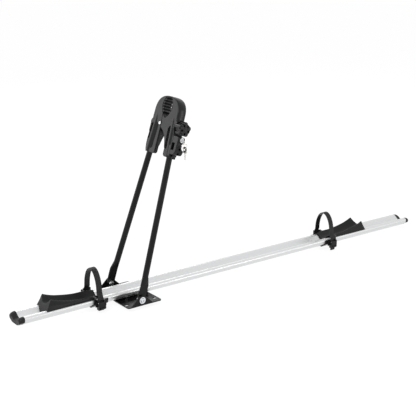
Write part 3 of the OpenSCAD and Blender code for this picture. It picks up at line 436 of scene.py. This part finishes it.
def without_specks(mesh):
    """Deletes the specks that a remesh or a bevel leaves in a wall: islands of a few faces."""
    made = bmesh.new()
    made.from_mesh(mesh)
    bmesh.ops.remove_doubles(made, verts=made.verts, dist=WELD)
    bmesh.ops.dissolve_degenerate(made, edges=made.edges, dist=WELD)
    made.faces.ensure_lookup_table()
    seen = bytearray(len(made.faces))
    islands = []
    for start in made.faces:
        if seen[start.index]:
            continue
        seen[start.index] = 1
        island = [start]
        for face in island:
            for edge in face.edges:
                for other in edge.link_faces:
                    if not seen[other.index]:
                        seen[other.index] = 1
                        island.append(other)
        islands.append(island)
    most = max(len(island) for island in islands)
    specks = [face for island in islands if len(island) < most * SPECK for face in island]
    bmesh.ops.delete(made, geom=specks, context="FACES")
    made.to_mesh(mesh)
    made.free()


def applied(piece):
    """Applies a piece's modifiers to its mesh."""
    graph = bpy.context.evaluated_depsgraph_get()
    mesh = bpy.data.meshes.new_from_object(piece.evaluated_get(graph))
    piece.modifiers.clear()
    without_specks(mesh)
    piece.data = mesh


def as_piece(name, made):
    """A new object in the scene from a bmesh."""
    mesh = bpy.data.meshes.new(name)
    made.to_mesh(mesh)
    made.free()
    piece = bpy.data.objects.new(name, mesh)
    bpy.context.scene.collection.objects.link(piece)
    return piece


def softened(node, radius):
    """Stands for a CAD node with the same shape, its edges rounded and its curves smooth."""
    piece = as_piece(node + ".finished", joined(frame["nodes"][node]))
    if radius:
        bevel = piece.modifiers.new("rounded edges", "BEVEL")
        bevel.width = radius * MM
        bevel.segments = bpy.context.scene.carrier_edges.segments
        bevel.limit_method = "ANGLE"
        bevel.angle_limit = ROUNDED
        bevel.use_clamp_overlap = True
    applied(piece)
    mark_edges(piece.data)
    piece.data.shade_smooth()
    piece.data.set_sharp_from_angle(angle=SHARP)
    weighted = piece.modifiers.new("flat faces", "WEIGHTED_NORMAL")
    weighted.keep_sharp = True
    weighted.weight = 80
    dressed(piece, node)


def moulded_form(node, voxel, rounds):
    """Stands for a CAD node as a moulding: one skin whose edges and inner corners are filleted."""
    piece = as_piece(node + ".finished", joined(frame["nodes"][node]))
    skin = piece.modifiers.new("one skin", "REMESH")
    skin.mode = "VOXEL"
    skin.voxel_size = voxel * MM
    fillet = piece.modifiers.new("fillets", "SMOOTH")
    fillet.factor = 0.5
    fillet.iterations = rounds
    applied(piece)
    mark_edges(piece.data)
    piece.data.shade_smooth()
    dressed(piece, node)


def dressed(piece, node):
    """Gives a piece its node's finish and body, and hides the node."""
    slot = SLOT_OF[node]
    piece.data.materials.clear()
    piece.data.materials.append(finish_of(slot))
    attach(piece, BODY_OF[node])
    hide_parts(node)


# Settings

class CarrierFinish(PropertyGroup):
    """Colours and surface values of the carrier's materials."""

    rail_colour: FloatVectorProperty(
        name="Rail colour", description="Colour of the anodised extrusion",
        subtype="COLOR", size=3, min=0.0, max=1.0, default=(0.69, 0.695, 0.70))
    rail_roughness: FloatProperty(
        name="Rail roughness", description="How matt the anodised extrusion is",
        min=0.05, max=0.9, default=0.42)
    steel_colour: FloatVectorProperty(
        name="Steel colour", description="Colour of the powder coat on the legs and the plate",
        subtype="COLOR", size=3, min=0.0, max=1.0, default=(0.005, 0.005, 0.0052))
    plastic_colour: FloatVectorProperty(
        name="Plastic colour", description="Colour of the clamp, trays and caps",
        subtype="COLOR", size=3, min=0.0, max=1.0, default=(0.008, 0.0082, 0.0085))
    plastic_roughness: FloatProperty(
        name="Plastic roughness", description="How matt the moulded plastic is",
        min=0.05, max=0.9, default=0.31)
    grain: FloatProperty(
        name="Plastic grain", description="Pits of the moulded grain in a metre",
        min=200.0, max=5000.0, default=1700.0)
    rubber_colour: FloatVectorProperty(
        name="Rubber colour", description="Colour of the ribbed pads",
        subtype="COLOR", size=3, min=0.0, max=1.0, default=(0.006, 0.006, 0.0062))
    strap_colour: FloatVectorProperty(
        name="Strap colour", description="Colour of the wheel straps",
        subtype="COLOR", size=3, min=0.0, max=1.0, default=(0.007, 0.007, 0.0074))
    strap_roughness: FloatProperty(
        name="Strap roughness", description="How matt the straps are",
        min=0.05, max=0.9, default=0.3)
    zinc_colour: FloatVectorProperty(
        name="Zinc colour", description="Colour of the plated bolts, nuts and rod",
        subtype="COLOR", size=3, min=0.0, max=1.0, default=(0.74, 0.74, 0.74))


class CarrierEdges(PropertyGroup):
    """Radii of the rounded edges, in millimetres."""

    rail: FloatProperty(
        name="Rail edges", description="Radius on the extrusion's edges, in millimetres",
        min=0.0, max=1.0, default=0.3)
    sheet: FloatProperty(
        name="Sheet edges", description="Radius on the pressed steel's edges, in millimetres",
        min=0.0, max=1.4, default=0.6)
    moulding: FloatProperty(
        name="Moulding edges", description="Radius on the plastic's edges, in millimetres",
        min=0.0, max=3.0, default=0.9)
    small: FloatProperty(
        name="Small edges", description="Radius on fasteners and lock pieces, in millimetres",
        min=0.0, max=1.0, default=0.35)
    segments: IntProperty(
        name="Edge steps", description="Faces across each rounded edge", min=1, max=4, default=2)
    skin: FloatProperty(
        name="Skin detail", description="Grid of the large mouldings' skin, in millimetres",
        min=0.4, max=3.0, default=0.8)
    rounds: IntProperty(
        name="Fillet rounds", description="How often the large mouldings are smoothed",
        min=0, max=40, default=10)


class CarrierStudio(PropertyGroup):
    """The camera and the light."""

    camera_at: FloatVectorProperty(
        name="Camera", description="Where the camera stands", subtype="TRANSLATION",
        unit="LENGTH", size=3, default=(-1.2888, -2.0859, 0.9807))
    camera_turn: FloatVectorProperty(
        name="Camera turn", description="The camera's rotation", subtype="EULER", size=3,
        default=(math.radians(73.23), 0.0, math.radians(-36.72)))
    lens: FloatProperty(
        name="Lens", description="Focal length on a sensor of 36 mm", subtype="DISTANCE_CAMERA",
        min=20.0, max=200.0, default=84.52)
    sky: FloatProperty(
        name="Sky light", description="Strength of the even light from all round",
        min=0.0, max=2.0, default=0.4)
    key_power: FloatProperty(
        name="Key light", description="Power of the large light above, in front and to the left",
        subtype="POWER", min=0.0, max=400.0, default=30.0)
    side_power: FloatProperty(
        name="Side light", description="Power of the low light in front and to the right",
        subtype="POWER", min=0.0, max=400.0, default=8.0)
    rim_power: FloatProperty(
        name="Rim light", description="Power of the wide light above and behind",
        subtype="POWER", min=0.0, max=400.0, default=20.0)
    face_power: FloatProperty(
        name="Face light", description="Power of the light that the clamp's faces mirror",
        subtype="POWER", min=0.0, max=400.0, default=6.0)
    glow: FloatProperty(
        name="Floor glow", description="How white the floor is for the camera",
        min=0.0, max=2.0, default=1.12)


# Pieces

class CARRIER_OT_rail(Operator):
    """Finishes the wheel rail and its end caps"""

    bl_idname = "carrier.rail"
    bl_label = "Rail and end caps"

    def execute(self, context):
        edges = context.scene.carrier_edges
        softened("rail", edges.rail)
        for node in ("end_cap_left", "end_cap_right"):
            softened(node, edges.moulding)
        return {"FINISHED"}


class CARRIER_OT_foot(Operator):
    """Finishes the foot plate with its bolts"""

    bl_idname = "carrier.foot"
    bl_label = "Foot plate"

    def execute(self, context):
        edges = context.scene.carrier_edges
        softened("base_plate", edges.sheet)
        for node in ("rail_bolts", "rail_nuts", "foot_bolts", "foot_nuts", "foot_spacers"):
            softened(node, edges.small)
        return {"FINISHED"}


class CARRIER_OT_legs(Operator):
    """Finishes the two folding legs and the screws in their sleeves"""

    bl_idname = "carrier.legs"
    bl_label = "Legs"

    def execute(self, context):
        edges = context.scene.carrier_edges
        for node in ("leg_far", "leg_near"):
            softened(node, edges.sheet)
        for node in ("leg_screw_far", "leg_screw_near"):
            softened(node, edges.small)
        return {"FINISHED"}


class CARRIER_OT_clamp(Operator):
    """Finishes the frame clamp's halves and their rubber pads"""

    bl_idname = "carrier.clamp"
    bl_label = "Frame clamp"

    def execute(self, context):
        edges = context.scene.carrier_edges
        for node in ("jaw_far", "jaw_near"):
            moulded_form(node, edges.skin, edges.rounds)
        for node in ("pad_far", "pad_near"):
            softened(node, edges.small)
        return {"FINISHED"}


class CARRIER_OT_screw(Operator):
    """Finishes the clamp rod, its nut and cap, and the knob"""

    bl_idname = "carrier.screw"
    bl_label = "Clamp screw"

    def execute(self, context):
        edges = context.scene.carrier_edges
        for node in ("clamp_rod", "rod_nut", "rod_screw", "clamp_nut"):
            softened(node, edges.small)
        for node in ("rod_cap", "knob", "knob_cap"):
            softened(node, edges.moulding)
        return {"FINISHED"}


class CARRIER_OT_lock(Operator):
    """Finishes the lock, its housing and the keys"""

    bl_idname = "carrier.lock"
    bl_label = "Lock and keys"

    def execute(self, context):
        edges = context.scene.carrier_edges
        moulded_form("lock_housing", edges.skin * 0.8, edges.rounds)
        for node in ("housing_screws", "lock_barrel", "lock_plug", "key", "key_ring", "spare_key"):
            softened(node, edges.small)
        return {"FINISHED"}


class CARRIER_OT_trays(Operator):
    """Finishes the wheel trays and the carriers that hold them on the rail"""

    bl_idname = "carrier.trays"
    bl_label = "Wheel trays"

    def execute(self, context):
        edges = context.scene.carrier_edges
        for side in ("left", "right"):
            moulded_form("tray_" + side, edges.skin, edges.rounds // 2)
            softened("strap_carrier_" + side, edges.moulding)
            softened("tray_screws_" + side, edges.small)
        return {"FINISHED"}


class CARRIER_OT_straps(Operator):
    """Finishes the wheel straps and their buckles"""

    bl_idname = "carrier.straps"
    bl_label = "Straps and buckles"

    def execute(self, context):
        edges = context.scene.carrier_edges
        for side in ("left", "right"):
            for node in ("buckle_", "release_tab_"):
                softened(node + side, edges.moulding * 0.6)
            for node in ("strap_", "buckle_pin_"):
                softened(node + side, edges.small)
        return {"FINISHED"}


# Studio

def studio_floor(low, strength):
    """A white floor that keeps a faint shadow and goes to plain white for the camera."""
    made = bmesh.new()
    bmesh.ops.create_circle(made, cap_ends=True, segments=48, radius=FLOOR_RADIUS)
    floor = as_piece("studio_floor", made)
    floor.location = (*FLOOR_MIDDLE, low - FLOOR_GAP)
    paint = Surface("studio floor", roughness=0.9, specular=0.2)
    paint.set(base_color=(0.93, 0.93, 0.93, 1.0))
    camera = paint.node("ShaderNodeLightPath", output="Is Camera Ray")
    glossy = paint.node("ShaderNodeLightPath", output="Is Glossy Ray")
    shown = (camera + glossy).clamped() * FLOOR_SHOWN
    white = {"Color": (1.0, 1.0, 1.0, 1.0), "Strength": strength}
    glow = paint.node("ShaderNodeEmission", None, white)
    matt = Wire(paint, paint.shader.outputs[0])
    mixed = paint.node("ShaderNodeMixShader", None, {0: shown, 1: matt, 2: glow})
    paint.tree.links.new(mixed.socket, paint.tree.nodes["Material Output"].inputs["Surface"])
    floor.data.materials.append(paint.material)


def studio_world(strength):
    """Even white light, which shows as white behind the object and in its gloss."""
    world = bpy.data.worlds.new("studio")
    bpy.context.scene.world = world
    world.use_nodes = True
    nodes = world.node_tree.nodes
    links = world.node_tree.links
    path = nodes.new("ShaderNodeLightPath")
    shown = path.outputs["Is Camera Ray"]
    for kind in ("Is Glossy Ray", "Is Transmission Ray"):
        either = nodes.new("ShaderNodeMath")
        either.operation = "MAXIMUM"
        links.new(shown, either.inputs[0])
        links.new(path.outputs[kind], either.inputs[1])
        shown = either.outputs[0]
    level = nodes.new("ShaderNodeMapRange")
    level.inputs["To Min"].default_value = strength
    level.inputs["To Max"].default_value = 1.0
    links.new(shown, level.inputs["Value"])
    back = nodes["Background"]
    back.inputs["Color"].default_value = (1.0, 1.0, 1.0, 1.0)
    links.new(level.outputs[0], back.inputs["Strength"])


def studio_lamp(name, place, aim, size, power):
    lamp = bpy.data.lights.new(name, "AREA")
    lamp.shape = "RECTANGLE"
    lamp.size, lamp.size_y = size
    lamp.energy = power
    holder = bpy.data.objects.new(name, lamp)
    holder.location = place
    holder.rotation_euler = (Vector(aim) - Vector(place)).to_track_quat("-Z", "Y").to_euler()
    bpy.context.scene.collection.objects.link(holder)


class CARRIER_OT_studio(Operator):
    """Adds the floor, the light and the camera"""

    bl_idname = "carrier.studio"
    bl_label = "Studio"

    def execute(self, context):
        studio = context.scene.carrier_studio
        studio_floor(CAD_BOX[0][2], studio.glow)
        studio_world(studio.sky)
        for name, place, aim, size, power in LAMPS:
            studio_lamp(name, place, aim, size, getattr(studio, power))
        camera = bpy.data.cameras.new("camera")
        camera.sensor_width = 36.0
        camera.lens = studio.lens
        holder = bpy.data.objects.new("camera", camera)
        holder.location = studio.camera_at
        holder.rotation_euler = studio.camera_turn
        context.scene.collection.objects.link(holder)
        context.scene.camera = holder
        context.scene.view_settings.view_transform = "Standard"
        return {"FINISHED"}


STEPS = (
    CARRIER_OT_rail,
    CARRIER_OT_foot,
    CARRIER_OT_legs,
    CARRIER_OT_clamp,
    CARRIER_OT_screw,
    CARRIER_OT_lock,
    CARRIER_OT_trays,
    CARRIER_OT_straps,
    CARRIER_OT_studio,
)


class CARRIER_PT_panel(Panel):
    """Lists the steps that finish the carrier"""

    bl_idname = "CARRIER_PT_panel"
    bl_label = "Bike carrier"
    bl_space_type = "VIEW_3D"
    bl_region_type = "UI"
    bl_category = "Carrier"

    def draw(self, context):
        for step in STEPS:
            self.layout.operator(step.bl_idname)
        for group in ("carrier_finish", "carrier_edges", "carrier_studio"):
            settings = getattr(context.scene, group)
            box = self.layout.box()
            for name in settings.__annotations__:
                box.prop(settings, name)


SETTINGS = {
    "carrier_finish": CarrierFinish,
    "carrier_edges": CarrierEdges,
    "carrier_studio": CarrierStudio,
}


def register():
    for group, kind in SETTINGS.items():
        bpy.utils.register_class(kind)
        setattr(bpy.types.Scene, group, PointerProperty(type=kind))
    for kind in (*STEPS, CARRIER_PT_panel):
        bpy.utils.register_class(kind)


def unregister():
    for kind in (CARRIER_PT_panel, *reversed(STEPS)):
        bpy.utils.unregister_class(kind)
    for group, kind in SETTINGS.items():
        delattr(bpy.types.Scene, group)
        bpy.utils.unregister_class(kind)


def main():
    register()
    for step in STEPS:
        family, name = step.bl_idname.split(".")
        getattr(getattr(bpy.ops, family), name)()


if __name__ == "__main__":
    main()
